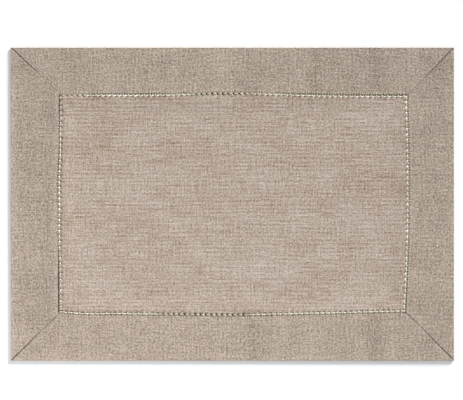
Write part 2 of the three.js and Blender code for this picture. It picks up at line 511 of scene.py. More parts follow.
ROW = HemstitchRow()


# Centre panel


@dataclass
class CentrePanel:
    """The slubby panel: one cloth sheet with a hole at every stitch of the hemstitch row.

    Attributes:
        tuck: Where the grid lines lie from the raw edge to the row, outside the row's middle.
        near_hole: Where the grid lines lie in each stitch, from the middle of its hole.
        rim_corners: How many grid corners lie round a hole's middle.
        waves: The thick yarns of the weft, two layers, those of the warp, and the waves of cloth
            that lies by itself.
        waves_lift: How far the waves raise the cloth as a whole.
        held_relief: The share of the relief that is left where the border holds the cloth.
        relief_edge: Between which distances inside the row the relief grows to the whole.
        groove_edge: Where the groove under the lip begins and ends, outside the row's middle.
        crease_shade_start: How far before the lip the crease's painted shade begins, and is full.
        shade_place: How far inside the row the tone beside it lies.
        shade_half: How far that tone reaches.
        long_spread: The least and the most of a hole's length, as shares of the table's.
        wide_spread: The same for its width.
        slant_spread: How far a hole's slant may be off the table's, in degrees.
        rim_shade_range: How dark the painted shade on a hole's rim is at least and at most.
        seed: First of the random lattices used.
    """

    tuck: tuple[float, ...] = (8.2, 6.2, 4.2, 2.8, 2.2, 1.9)
    near_hole: tuple[float, ...] = (-1.1, 0.0, 1.1, 3.1)
    rim_corners: int = 8
    waves: tuple[Wave, ...] = (
        Wave(0.05, 14, 3.1), Wave(0.03, 30, 4.3), Wave(0.025, 3.4, 17), Wave(0.06, 46, 38),
    )
    waves_lift: float = 0.06
    held_relief: float = 0.3
    relief_edge: tuple[float, float] = (-2.0, 6.0)
    groove_edge: tuple[float, float] = (1.9, 2.2)
    crease_shade_start: tuple[float, float] = (1.1, 0.4)
    shade_place: float = 2.5
    shade_half: float = 2.0
    long_spread: tuple[float, float] = (0.88, 1.12)
    wide_spread: tuple[float, float] = (0.75, 1.2)
    slant_spread: float = 7.0
    rim_shade_range: tuple[float, float] = (0.2, 0.75)
    seed: int = 11

    def lines(self, span: float) -> tuple[np.ndarray, np.ndarray]:
        """Place the grid lines one way across the panel.

        Args:
            span: The row's length that way.

        Returns:
            The lines in millimetres from the row's first side, and the number of each line
            that runs through the middle of a hole.
        """
        count = round(span / HOLE_PITCH)
        stitches = np.arange(count + 1)[:, None] * (span / count) + np.array(self.near_hole)
        edge = -np.array(self.tuck)
        lines = np.concatenate([edge, stitches.ravel()[:-1], span - edge[::-1]])
        first_hole = len(edge) + self.near_hole.index(0.0)
        return lines, first_hole + len(self.near_hole) * np.arange(count + 1)

    def shape(self) -> Shape:
        """Work out the pierced sheet.

        A grid of both faces is laid over the panel. The four squares round the middle of each
        hole are left out, and the corners round them are moved onto an ellipse. The edges left
        open, round the holes and the raw edge, are closed by a wall between the two faces.

        Returns:
            The closed sheet.
        """
        s_lines, s_holes = self.lines(ROW_LENGTH)
        r_lines, r_holes = self.lines(ROW_WIDTH)
        r, s = (grid.copy() for grid in np.meshgrid(r_lines, s_lines, indexing="ij"))
        kept = np.ones(r.shape, bool)
        kept_squares = np.ones((r.shape[0] - 1, r.shape[1] - 1), bool)
        # Painted shade on the rims of the holes, where their walls fall into shade.
        rim_painted_shade = np.zeros(r.shape)
        holes = self.hole_table(s_holes, r_holes)
        rows, columns = holes[:, 0].astype(int), holes[:, 1].astype(int)
        long, wide, slant = holes[:, 2], holes[:, 3], np.radians(holes[:, 4])
        middle_s, middle_r = s[rows, columns], r[rows, columns]
        for angle in 2 * np.pi / self.rim_corners * np.arange(self.rim_corners):
            row = rows + round(np.sin(angle))
            column = columns + round(np.cos(angle))
            a, b = long * np.cos(angle), wide * np.sin(angle)
            s[row, column] = middle_s + a * np.cos(slant) - b * np.sin(slant)
            r[row, column] = middle_r + a * np.sin(slant) + b * np.cos(slant)
            rim_painted_shade[row, column] = holes[:, 5]
        kept[rows, columns] = False
        for down in (0, 1):
            for back in (0, 1):
                kept_squares[rows - down, columns - back] = False
        return self.closed_sheet(s, r, kept, kept_squares, rim_painted_shade)

    def hole_table(self, s_holes: np.ndarray, r_holes: np.ndarray) -> np.ndarray:
        """List the holes.

        Args:
            s_holes: Numbers of the grid lines through holes along the length.
            r_holes: Numbers of the grid lines through holes along the width.

        Returns:
            One row for each hole: its grid row and column, half its length and half its width
            along +X and +Y, its slant in degrees, and how dark the painted shade on its rim is.
        """
        chance = np.random.default_rng(self.seed)
        table = []
        for edge in Edge:
            holes = s_holes if edge.lies_along_x else r_holes
            share = np.linspace(0, 1, len(holes))
            if not edge.lies_along_x:
                holes, share = holes[1:-1], share[1:-1]
            long, wide, slant = (ROW.reading(edge, c, share) for c in ("long", "wide", "slant"))
            long = long * chance.uniform(*self.long_spread, len(share))
            wide = wide * chance.uniform(*self.wide_spread, len(share))
            slant = slant + chance.uniform(-self.slant_spread, self.slant_spread, len(share))
            # How dark the painted shade on each hole's rim is.
            dark = chance.uniform(*self.rim_shade_range, len(share))
            crossed = r_holes if edge.lies_along_x else s_holes
            level = np.full(len(share), crossed[-1 if edge.sign > 0 else 0])
            if edge.lies_along_x:
                table.append(np.stack([level, holes, long, wide, slant, dark], axis=1))
            else:
                table.append(np.stack([holes, level, wide, long, slant, dark], axis=1))
        return np.concatenate(table)

    def closed_sheet(
        self,
        s: np.ndarray,
        r: np.ndarray,
        kept: np.ndarray,
        kept_squares: np.ndarray,
        rim_painted_shade: np.ndarray,
    ) -> Shape:
        """Give the pierced grid its height, thickness and walls.

        Args:
            s: Grid places along the length.
            r: Grid places along the width.
            kept: Which grid corners are used.
            kept_squares: Which grid squares are cloth.
            rim_painted_shade: The painted shade on the rims of the holes, and 0 elsewhere.

        Returns:
            The closed sheet.
        """
        x, y = ROW.place(s, r)
        outside = ROW.outside(s, r)
        foot = ROW.panel_foot(s, r)
        relief = uneven(self.waves, x, y, self.seed) + self.waves_lift
        free = self.held_relief + (1 - self.held_relief) * ramp(-outside, *self.relief_edge)
        groove = PANEL_GROOVE * ramp(outside, *self.groove_edge)
        face = foot + PANEL_CLOTH - groove + relief * free
        # Painted shade in the crevice under the lip, strongest beside the holes, and on the holes'
        # rims.
        mouth = ROW.nearest("mouth", s, r)
        crease = ROW.nearest("crease", s, r)
        between = (1 - crease) * (1 - ROW.beside_holes(s, r))
        begin, full = self.crease_shade_start
        crease = crease * (1 - between) * ramp(outside, mouth - begin, mouth - full)
        crease = np.maximum(crease, rim_painted_shade)
        # Tone just inside the row, partly painted shade.
        shade = ROW.nearest("shade", s, r) * bell(outside + self.shade_place, self.shade_half)
        number = np.full(kept.shape, -1)
        number[kept] = np.arange(kept.sum())
        count = int(kept.sum())
        corners = (number[:-1, :-1], number[:-1, 1:], number[1:, 1:], number[1:, :-1])
        top = np.stack([corner[kept_squares] for corner in corners], axis=1)
        rim = rim_edges(top, count)
        wall = np.stack([rim[:, 0] + count, rim[:, 1] + count, rim[:, 1], rim[:, 0]], axis=1)
        plan = np.stack([x[kept], y[kept]], axis=1)
        points = np.concatenate([
            np.column_stack([plan, face[kept]]),
            np.column_stack([plan, foot[kept]]),
        ])
        return Shape(
            points=points,
            quads=np.concatenate([top, top[:, ::-1] + count, wall]),
            crease=np.concatenate([crease[kept], rim_painted_shade[kept]]),
            shade=np.concatenate([shade[kept], 0 * shade[kept]]),
        )

    def build(self, cloth: bpy.types.Material) -> bpy.types.Object:
        """Make the panel and dress it.

        Args:
            cloth: The panel's material.

        Returns:
            The panel's object.
        """
        panel = self.shape().build("panel_cloth_sheet")
        panel.data.materials.append(cloth)
        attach(panel, "root")
        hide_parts("centre_panel")
        return panel


# Border strips


@dataclass(frozen=True)
class Mitre:
    """One corner of the mat, where two strips meet in a seam.

    Attributes:
        x: -1 at the left end and 1 at the right end.
        y: -1 at the front and 1 at the back.
        outer: How deep the seam is at the outer corner, and how dark its painted shade, from 0 to
            1.
        middle: The same half way along the seam.
        inner: The same at the border's inner edge.
        wave: How far the seam wanders from straight, in millimetres.
    """

    x: int
    y: int
    outer: float
    middle: float
    inner: float
    wave: float


@dataclass(frozen=True)
class Band:
    """A soft band of lighter or darker yarns across a border strip.

    Attributes:
        place: Where its middle lies, in millimetres from the mat's middle towards +X or +Y.
        half: Half its width in millimetres.
        shade: How much lighter it is, or darker below 0, on the scale from dark to light yarn.
    """

    place: float
    half: float
    shade: float


@dataclass(frozen=True)
class StripTone:
    """How light one border strip is.

    Attributes:
        whole: How much lighter the whole strip is, on the scale from dark to light yarn.
        outer: Painted light beside its pressed fold, on the same scale.
        inner: The same beside its lip.
        lip: The same in a narrow band along its lip.
        fold: How dark the painted shade on the fold's rounded edge is, from 0 to 1.
        bands: Its lighter and darker bands.
    """

    whole: float
    outer: float
    inner: float
    lip: float
    fold: float
    bands: tuple[Band, ...]


# outer is painted light beside the fold, and fold is painted shade on its rounded edge.
STRIP_TONES = {
    Edge.FRONT: StripTone(whole=0.04, outer=0.09, inner=0.10, lip=0.0, fold=0.0, bands=(
        Band(-180, 9, -0.08), Band(-60, 30, 0.04), Band(24, 8, -0.11), Band(55, 8, 0.05),
        Band(163, 9, -0.10), Band(205, 30, -0.03),
    )),
    Edge.RIGHT: StripTone(whole=0.01, outer=0.10, inner=0.06, lip=0.04, fold=0.10, bands=(
        Band(160, 16, -0.15), Band(72, 16, -0.05),
    )),
    Edge.BACK: StripTone(whole=0.01, outer=0.02, inner=0.02, lip=0.0, fold=0.12, bands=(
        Band(-12, 14, 0.12), Band(20, 9, -0.09), Band(95, 6, -0.13), Band(140, 45, -0.05),
        Band(163, 10, -0.06), Band(221, 8, -0.07),
    )),
    Edge.LEFT: StripTone(whole=-0.02, outer=0.24, inner=0.04, lip=0.22, fold=0.0, bands=(
        Band(160, 16, -0.06), Band(-158, 14, 0.06),
    )),
}

# Each seam both dips and carries painted shade, as dark as it is deep.
MITRES = (
    Mitre(x=-1, y=-1, outer=1.7, middle=1.15, inner=0.35, wave=0.3),
    Mitre(x=1, y=-1, outer=1.0, middle=1.15, inner=0.45, wave=0.25),
    Mitre(x=1, y=1, outer=1.3, middle=0.8, inner=0.3, wave=0.3),
    Mitre(x=-1, y=1, outer=1.3, middle=0.85, inner=0.0, wave=0.2),
)


@dataclass
class BorderStrip:
    """One border strip: cloth folded in half along the mat's outer edge.

    Attributes:
        edge: The side of the mat that it lies on.
        start: The mitre at its start, going anticlockwise round the mat.
        end: The mitre at its end.
        seed: First of the random lattices used.
        end_lines: Where the first and last lines across the strip lie, from its ends.
        line_gap: About how far apart the other lines across the strip lie.
        under_lines: How many lines run along the under layer.
        fold_steps: How many pieces the rounded fold has.
        fold_press: How far the pressed fold takes to turn, along the table.
        fold_support: Where lines lie close to the fold, as shares of the top layer.
        top_lines: How many even steps follow them.
        lip_lines: Where the lines near the lip lie, from the lip.
        even_end: How far from the lip the even steps end.
        rise: How far from the lip the strip starts and ends its rise over the panel's edge.
        lip_turn: How far the face turns down at the lip.
        lip_turn_width: How wide that turn is.
        seam_knots: Where along a mitre the depth of its seam is known, as shares of the way in.
        seam_change: How much of its change from middle to inner a seam has had at the third.
        seam_width: How far a mitre seam's dip reaches into the strip.
        seam_dip: How deep the dip is.
        wander_turns: How many times a wandering seam swings to and fro.
        wander_shift: How far the swings are moved, towards either end of the mat.
        wander_fade: How far from a seam its wandering reaches.
        mouth_fade: How far from its ends the lip leaves its usual line.
        waves: The thick yarns across and along, and the waves of the cloth.
        waves_clear: Between which distances from the fold the waves grow to their height.
        pucker: How deep the thread pulls the face in.
        pucker_place: How far from the lip it does so.
        pucker_half: How wide a pucker is.
        least_layer: The least thickness of the top layer.
        fold_band: Between which distances from the outer edge the painted shade on the fold fades.
        lip_painted_shade: How dark the lip's painted shade is for each unit of its crease, and of
            the crease squared.
        lip_painted_shade_width: How far from the lip that reaches.
        hidden_painted_shade: How dark the painted shade over the inside of the fold is.
        tone_fade: How far the tone beside the fold and the lip reaches.
        lip_band_place: How far from the lip the narrow light band lies.
        lip_band_half: Half the width of that band.
        cloth_apart: How far apart the strips' cloth lies, for each unit of seed.
    """

    edge: Edge
    start: Mitre
    end: Mitre
    seed: int
    end_lines: tuple[float, ...] = (0.0, 0.5, 1.0, 1.8, 3.0)
    line_gap: float = 1.95
    under_lines: int = 11
    fold_steps: int = 6
    fold_press: float = 0.45
    fold_support: tuple[float, ...] = (0.004, 0.014)
    top_lines: int = 23
    lip_lines: tuple[float, ...] = (6.0, 4.4, 3.2, 2.2, 1.3, 0.6, 0.2, 0.0)
    even_end: float = 7.5
    rise: tuple[float, float] = (20.0, 5.0)
    lip_turn: float = 0.25
    lip_turn_width: float = 0.7
    seam_knots: tuple[float, ...] = (0.0, 0.5, 0.62, 1.0)
    seam_change: float = 0.8
    seam_width: float = 0.45
    seam_dip: float = 0.55
    wander_turns: float = 1.7
    wander_shift: float = 0.2
    wander_fade: float = 4.0
    mouth_fade: float = 4.0
    waves: tuple[Wave, ...] = (Wave(0.05, 3.2, 15), Wave(0.035, 9, 3.4), Wave(0.1, 40, 30))
    waves_clear: tuple[float, float] = (0.5, 4.0)
    pucker: float = 0.14
    pucker_place: float = 2.2
    pucker_half: float = 1.3
    least_layer: float = 0.15
    fold_band: tuple[float, float] = (0.7, 1.6)
    lip_painted_shade: tuple[float, float] = (0.4, 0.5)
    lip_painted_shade_width: float = 0.8
    hidden_painted_shade: float = 0.9
    tone_fade: float = 6.0
    lip_band_place: float = 1.9
    lip_band_half: float = 1.3
    cloth_apart: float = 1000.0

    def outer_corner(self, mitre: Mitre) -> np.ndarray:
        """The mat's outer corner at a mitre, in millimetres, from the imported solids' box."""
        low, high = (np.array(corner) / MM for corner in CAD_BOX)
        return np.array([high[0] if mitre.x > 0 else low[0], high[1] if mitre.y > 0 else low[1]])

    def length(self) -> float:
        """The length of the strip's outer edge."""
        return np.linalg.norm(self.outer_corner(self.end) - self.outer_corner(self.start))

    def stations(self) -> np.ndarray:
        """Choose where along the strip it is worked out, closer together at its ends.

        Returns:
            Shares of the strip's length.
        """
        close = np.array(self.end_lines) / self.length()
        count = int(self.length() / self.line_gap)
        even = np.arange(2, count) / (count + 1)
        half_gap = 0.5 / count
        return np.concatenate([close, even[even > close[-1] + half_gap], 1 - close[::-1]])

    def lip_corner(self, mitre: Mitre) -> tuple[float, float]:
        """The lip's corner at a mitre, on the straight mat."""
        s = ROW_LENGTH + ROW_TO_LIP if mitre.x > 0 else -ROW_TO_LIP
        return s, ROW_WIDTH + ROW_TO_LIP if mitre.y > 0 else -ROW_TO_LIP

    def lip_place(self, share: np.ndarray) -> tuple[np.ndarray, np.ndarray]:
        """Places along the border's lip on the straight mat.

        Args:
            share: Shares of the way from the start mitre to the end mitre.

        Returns:
            Millimetres along the length and the width from the row's front left corner.
        """
        (s0, r0), (s1, r1) = self.lip_corner(self.start), self.lip_corner(self.end)
        return s0 + (s1 - s0) * share, r0 + (r1 - r0) * share

    def section(
        self, width: np.ndarray, under: np.ndarray, lip: np.ndarray
    ) -> tuple[np.ndarray, np.ndarray, np.ndarray, np.ndarray, int]:
        """Work out the folded cloth's section at every station.

        It runs from the under layer's inner edge, out along the table, round the fold as a half
        circle pressed flat, and back over the top to the lip. The cloth's outside and inside are
        two lines side by side.

        Args:
            width: The distance from the outer edge to the lip at each station.
            under: How far the under layer reaches past the lip at each station.
            lip: The height of the lip's face at each station.

        Returns:
            Distance from the outer edge, height outside, height inside and the same distance
            on the inside, each an array of stations by section points, and the number of
            section points before the top layer.
        """
        radius = BORDER_HEIGHT / 2
        inner_radius = radius - UNDER_LAYER
        pressed = self.fold_press
        beyond, to_lip = (width + under)[:, None], width[:, None]
        low = pressed + (beyond - pressed) * np.linspace(1, 0, self.under_lines + 1)[:-1]
        angle = np.linspace(0, np.pi, self.fold_steps + 1)
        fold_out = pressed * (1 - np.sin(angle)) + 0 * beyond
        fold_in = pressed + UNDER_LAYER / 2 - inner_radius * np.sin(angle) + 0 * beyond
        flat = np.concatenate([self.fold_support, np.linspace(0, 1, self.top_lines + 1)[1:]])
        high = pressed + (to_lip - self.even_end - pressed) * flat
        high = np.concatenate([high, to_lip - np.array(self.lip_lines)], axis=1)
        rise_start, rise_end = self.rise
        risen = ramp(high, to_lip - rise_start, to_lip - rise_end)
        crown = BORDER_HEIGHT + (lip[:, None] - BORDER_HEIGHT) * risen
        turned = self.lip_turn * ramp(high, to_lip - self.lip_turn_width, to_lip) ** 2
        outside = np.concatenate(
            [0 * low, radius * (1 - np.cos(angle)) + 0 * beyond, crown - turned], axis=1
        )
        around = radius - inner_radius * np.cos(angle) + 0 * beyond
        inside = np.concatenate([UNDER_LAYER + 0 * low, around, crown - TOP_LAYER], axis=1)
        distance = np.concatenate([low, fold_out, high], axis=1)
        distance_in = np.concatenate([low, fold_in, high], axis=1)
        return distance, outside, inside, distance_in, low.shape[1] + len(angle)

    def seam(self, mitre: Mitre, share_across: np.ndarray) -> np.ndarray:
        """How deep a mitre's seam is, and how dark its painted shade, in straight lines between its
        knots.

        Args:
            mitre: The seam's corner.
            share_across: Shares of the way in from the outer edge.

        Returns:
            The depth, about 1 for a deep seam.
        """
        late = mitre.middle + (mitre.inner - mitre.middle) * self.seam_change
        values = (mitre.outer, mitre.middle, late, mitre.inner)
        return np.interp(share_across, self.seam_knots, values)

    def shape(self) -> Shape:
        """Work out the folded strip.

        The section is carried along the strip and stretched between the mat's outer edge and
        the lip. Yarns and puckers raise its face, and both ends dip into the mitre seams.

        Returns:
            The closed strip.
        """
        share = self.stations()
        start, end = self.outer_corner(self.start), self.outer_corner(self.end)
        along = (end - start) / self.length()
        inward = np.array([-along[1], along[0]])
        outer = start + (end - start) * share[:, None]
        s, r = self.lip_place(share)
        side = self.edge.share(s, r)
        to_end = np.minimum(share, 1 - share) * self.length()
        mouth = ROW.reading(self.edge, "mouth", side)
        mouth = ROW_TO_LIP + (mouth - ROW_TO_LIP) * ramp(to_end, 0, self.mouth_fade)
        lip = np.stack(ROW.place(s, r), axis=1) - (mouth - ROW_TO_LIP)[:, None] * inward
        width = (lip - outer) @ inward
        under = mouth + ROW.reading(self.edge, "under", side)
        lip_height = LIP_FOOT + ROW.reading(self.edge, "lip", side)
        section = self.section(width, under, lip_height)
        distance, outside, inside, distance_in, before_top = section

        across = distance / width[:, None]
        span = self.length() * (1 - across) + np.linalg.norm(lip[-1] - lip[0]) * across
        ends = (
            (self.start, share[:, None] * span * DIAGONAL),
            (self.end, (1 - share[:, None]) * span * DIAGONAL),
        )
        along_mm = (outer - start) @ along
        along_mm = along_mm[:, None] + ((lip - outer) @ along)[:, None] * across
        seams = [self.seam(mitre, across) * bell(gap, self.seam_width) for mitre, gap in ends]
        seam = np.minimum(np.max(seams, axis=0), 1)
        top = np.arange(distance.shape[1]) >= before_top - self.fold_steps // 2
        to_lip = width[:, None] - distance
        pull = self.pull(side[:, None]) * bell(to_lip - self.pucker_place, self.pucker_half)
        away = ramp(distance, *self.waves_clear)
        lift = uneven(self.waves, along_mm, distance, self.seed) * away - pull
        outside = outside + np.where(top, lift - self.seam_dip * seam * away, 0)
        outside = np.where(top, np.maximum(outside, inside + self.least_layer), outside)

        wander = sum(self.wander(across, gap, mitre) for mitre, gap in ends)
        line = (lip - outer)[:, None, :] * across[..., None] + outer[:, None, :] + wander
        line_in = line + (distance_in - distance)[..., None] * inward
        outer_face = np.concatenate([line, outside[..., None]], axis=2)
        inner_face = np.concatenate([line_in, inside[..., None]], axis=2)[:, ::-1]
        ring = np.concatenate([outer_face, inner_face], axis=1)

        # Painted shade: along the lip, in the mitre seams, on the fold's rounded edge and over the
        # hidden inside of the fold.
        lip_crease_shade = ROW.reading(self.edge, "crease", side)[:, None]
        once, squared = self.lip_painted_shade
        lip_painted_shade = lip_crease_shade * (once + squared * lip_crease_shade)
        lip_painted_shade = lip_painted_shade * ramp(-to_lip, -self.lip_painted_shade_width, 0)
        fold_painted_shade = STRIP_TONES[self.edge].fold * (1 - ramp(distance, *self.fold_band))
        crease = np.maximum(np.maximum(seam, lip_painted_shade) * top, fold_painted_shade)
        hidden_shade = np.full(crease.shape, self.hidden_painted_shade)
        shade = self.tone(line[..., 0 if self.edge.lies_along_x else 1], distance, to_lip)
        cloth = self.cloth_place(along_mm, outer_face)
        return self.closed_ring(
            ring,
            np.concatenate([crease, hidden_shade], axis=1),
            np.concatenate([shade, shade[:, ::-1]], axis=1),
            np.concatenate([cloth, cloth[:, ::-1]], axis=1),
        )

    def pull(self, side: np.ndarray) -> np.ndarray:
        """How deep the puckers are along the side: a cosine wave with one for every bite."""
        turns = side * self.edge.row_length / (HOLE_PITCH / 2)
        return self.pucker * (0.5 + 0.5 * np.cos(2 * np.pi * turns))

    def tone(self, place: np.ndarray, distance: np.ndarray, inward: np.ndarray) -> np.ndarray:
        """How light the strip is: as a whole, with painted light beside its fold, beside its lip,
        and in its bands.

        The tone beside the fold and the lip fades as e^(-distance / tone_fade), and the bands
        fade as bell does.

        Args:
            place: Millimetres from the mat's middle, along the strip's side.
            distance: Distance from the outer edge.
            inward: Distance from the lip.

        Returns:
            The shade.
        """
        tone = STRIP_TONES[self.edge]
        shade = tone.whole + tone.outer * np.exp(-distance / self.tone_fade)
        shade = shade + tone.inner * np.exp(-np.abs(inward) / self.tone_fade)
        shade = shade + tone.lip * bell(inward - self.lip_band_place, self.lip_band_half)
        for band in tone.bands:
            shade = shade + band.shade * bell(place - band.place, band.half)
        return shade

    def wander(self, across: np.ndarray, distance: np.ndarray, mitre: Mitre) -> np.ndarray:
        """Sideways wandering of a seam, the same for both strips that meet in it.

        A sine along the seam that fades to nothing a few millimetres away from it.

        Args:
            across: Shares of the way in from the outer edge.
            distance: Distance from the seam.
            mitre: The seam's corner.

        Returns:
            Offsets in x and y.
        """
        turns = self.wander_turns * across + self.wander_shift * mitre.x
        swing = mitre.wave * np.sin(2 * np.pi * turns) * np.sin(np.pi * np.clip(across, 0, 1))
        swing = swing * np.exp(-distance / self.wander_fade)
        return swing[..., None] * np.array([-mitre.y, mitre.x]) * DIAGONAL

    def cloth_place(self, along: np.ndarray, face: np.ndarray) -> np.ndarray:
        """Place of each section point on the cloth before it was folded.

        Args:
            along: Millimetres along the strip.
            face: The outside of the folded cloth.

        Returns:
            Millimetres along the strip, and across it from the lip's edge.
        """
        steps = np.linalg.norm(np.diff(face, axis=1), axis=2)
        across = np.concatenate([np.zeros((len(steps), 1)), np.cumsum(steps, axis=1)], axis=1)
        return np.stack([along + self.cloth_apart * self.seed, across - across[:, -1:]], axis=2)

    def closed_ring(
        self, ring: np.ndarray, crease: np.ndarray, shade: np.ndarray, cloth: np.ndarray
    ) -> Shape:
        """Join rings of points, one at each station, into a closed strip.

        Args:
            ring: Stations by points round the section by x, y and z.
            crease: The painted shade of each point.
            shade: The shade of each point.
            cloth: The cloth place of each point.

        Returns:
            The strip, its sides as squares and its two ends as rows of squares between the
            cloth's outside and inside.
        """
        stations, count = ring.shape[:2]
        number = np.arange(stations * count).reshape(stations, count)
        here, beside = number[:-1], np.roll(number, -1, axis=1)[:-1]
        ahead, ahead_beside = number[1:], np.roll(number, -1, axis=1)[1:]
        sides = np.stack([here, ahead, ahead_beside, beside], axis=2).reshape(-1, 4)
        half = count // 2
        out, back = np.arange(half), count - 1 - np.arange(half)
        first = np.stack([out[:-1], out[1:], back[1:], back[:-1]], axis=1)
        last = first[:, ::-1] + (stations - 1) * count
        return Shape(
            points=ring.reshape(-1, 3),
            quads=np.concatenate([sides, first, last]),
            crease=crease.reshape(-1),
            shade=shade.reshape(-1),
            cloth=cloth.reshape(-1, 2),
        )

    def build(self, cloth: bpy.types.Material) -> bpy.types.Object:
        """Args:
            cloth: The border's material.

        Returns:
            The strip's object.
        """
        strip = self.shape().build(f"{self.edge.node}_cloth")
        strip.data.materials.append(cloth)
        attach(strip, "root")
        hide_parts(self.edge.node)
        return strip


# Hemstitch thread


@dataclass
class HemstitchThread:
    """The cream thread on one side of the row: wraps round the bars and bites into the border.

    Attributes:
        edge: The side of the row.
        seed: Seeds the unevenness of the stitches.
        sides: How many sides the thread's section has.
        path_points: How many points a stitch's path has.
        dive: How deep the end of a stitch dips.
        dive_start: The share of a stitch where it starts to dip.
        wrap_strands: How many turns of thread lie side by side on a bar.
        strand: Radius of the thread in a wrap.
        wrap_ends: How far a wrap reaches into its holes.
        wrap_end_chance: How far a wrap's ends may be off that.
        wrap_place_chance: How far a wrap may be off the middle of its bar.
        wrap_spread: How far the outer strands lie from the middle, and the part that goes with
            the width of the holes.
        wrap_spread_chance: How far a strand may be off its place.
        wrap_lean: How far the wraps turn for each degree of the holes' slant.
        wrap_turn_chance: How far a strand may be turned off that, in degrees.
        wrap_narrowing: The share by which the strands draw together at their ends.
        wrap_arch: How high a wrap arches over its bar.
        wrap_crown: How much higher the middle strand lies.
        wrap_slimming: The share by which a strand is slimmer towards its ends.
        wrap_round: How round the middle of a strand is, from 0 to 1.
        bite_seed: What is added to the seed for the bites.
        bite_strand: Radius of the thread in a bite.
        bite_start: How far before the lip a bite comes up.
        crossing_start: The same for a bite that crosses the crease from the row.
        crossing_share: How many of the bites do so.
        bite_place_chance: How far a bite may be off its place.
        bite_lean: How far a bite leans to one side.
        bite_lean_chance: How far its lean may be off that.
        bite_spread: The least and the most of a bite's length, as shares of the table's.
        least_bite: Bites that would reach less far than this are left out.
        bite_climb: How far before and after the lip a bite rises onto the border.
        bite_clear: How far the middle of the thread lies above the border's face.
        bite_taper: The share by which a bite is slimmer at its end.
        taper_start: The share of a bite where that starts.
    """

    edge: Edge
    seed: int
    sides: int = 6
    path_points: int = 7
    dive: float = 0.5
    dive_start: float = 0.8
    wrap_strands: int = 3
    strand: float = 0.3
    wrap_ends: float = 0.3
    wrap_end_chance: float = 0.25
    wrap_place_chance: float = 0.15
    wrap_spread: tuple[float, float] = (0.2, 0.35)
    wrap_spread_chance: float = 0.12
    wrap_lean: float = 0.8
    wrap_turn_chance: float = 7.0
    wrap_narrowing: float = 0.25
    wrap_arch: float = 0.22
    wrap_crown: float = 0.12
    wrap_slimming: float = 0.25
    wrap_round: float = 0.8
    bite_seed: int = 50
    bite_strand: float = 0.25
    bite_start: float = 0.2
    crossing_start: float = 1.1
    crossing_share: float = 0.15
    bite_place_chance: float = 0.35
    bite_lean: float = 0.55
    bite_lean_chance: float = 0.4
    bite_spread: tuple[float, float] = (0.7, 1.15)
    least_bite: float = 0.7
    bite_climb: tuple[float, float] = (0.2, 0.3)
    bite_clear: float = 0.1
    bite_taper: float = 0.35
    taper_start: float = 0.7

    def count(self) -> int:
        """The number of stitches on this side."""
        return round(self.edge.row_length / HOLE_PITCH)

    def pitch(self) -> float:
        """The distance from stitch to stitch."""
        return self.edge.row_length / self.count()

    def paths(self, along: np.ndarray, outward: np.ndarray, height: np.ndarray) -> np.ndarray:
        """Turn threads drawn beside the row into paths in space.

        Args:
            along: Millimetres from the side's left or front end, threads by path points.
            outward: Millimetres outside the row's middle.
            height: Heights above the table.

        Returns:
            Threads by path points by x, y and z.
        """
        return np.stack([*ROW.place(*self.edge.beside(along, outward)), height], axis=2)

    def wraps(self) -> tuple[np.ndarray, np.ndarray]:
        """Draw the strands that wrap the bars.

        Each strand arches from one hole over the bar to the next, as 1 - |t|^3 with t from -1
        to 1, and dips into both. The strands of a bar lie side by side, a little slanted as the
        holes are.

        Returns:
            The paths, and the thread's radius at every path point.
        """
        chance = np.random.default_rng(self.seed)
        count, pitch, t = self.count(), self.pitch(), np.linspace(-1, 1, self.path_points)
        share = (np.arange(count) + 0.5) / count
        long, wide, slant, thick = (
            ROW.reading(self.edge, column, share)[:, None, None]
            for column in ("long", "wide", "slant", "wrap")
        )
        strands = np.linspace(-1, 1, self.wrap_strands)[None, :, None]

        def off(most: float) -> np.ndarray:
            """Draw one random number for each strand, from -most to most."""
            return chance.uniform(-most, most, (count, self.wrap_strands, 1))

        reach = pitch / 2 - long + self.wrap_ends + off(self.wrap_end_chance)
        middle = share[:, None, None] * self.edge.row_length + off(self.wrap_place_chance)
        least, with_width = self.wrap_spread
        spread = strands * thick * (least + with_width * wide) + off(self.wrap_spread_chance)
        turn = np.radians(self.wrap_lean * slant + off(self.wrap_turn_chance))
        # Out of the row is left of the way along it on the back and left sides alone.
        hand = self.edge.sign if self.edge.lies_along_x else -self.edge.sign
        step = reach * t
        along = middle + step * np.cos(turn)
        narrowed = spread * (1 - self.wrap_narrowing * t * t)
        outward = hand * step * np.sin(turn) + narrowed
        cloth = ROW.panel_foot(*self.edge.beside(along, outward)) + PANEL_CLOTH
        arch = self.wrap_arch * thick * (1 - np.abs(t) ** 3)
        dive = self.dive * ramp(np.abs(t), self.dive_start, 1)
        height = cloth + (arch - dive) + self.wrap_crown * (1 - strands * strands)
        swell = np.sqrt(1 - self.wrap_round * t * t)
        slim = 1 - self.wrap_slimming * (1 - swell)
        radius = self.strand * thick * slim + 0 * along
        flat = (-1, len(t))
        paths = self.paths(along.reshape(flat), outward.reshape(flat), height.reshape(flat))
        return paths, radius.reshape(flat)

    def bites(self) -> tuple[np.ndarray, np.ndarray]:
        """Draw the stitches that bite into the border.

        There are two for each hole. Each comes up round the lip, lies on the border and goes
        down into it. They lean a little, by turns to one side and the other.

        Returns:
            The paths, and the thread's radius at every path point.
        """
        chance = np.random.default_rng(self.seed + self.bite_seed)
        count, t = 2 * self.count(), np.linspace(0, 1, self.path_points)
        number = np.arange(count)[:, None]

        def draw(low: float, high: float) -> np.ndarray:
            """Draw one random number for each bite."""
            return chance.uniform(low, high, (count, 1))

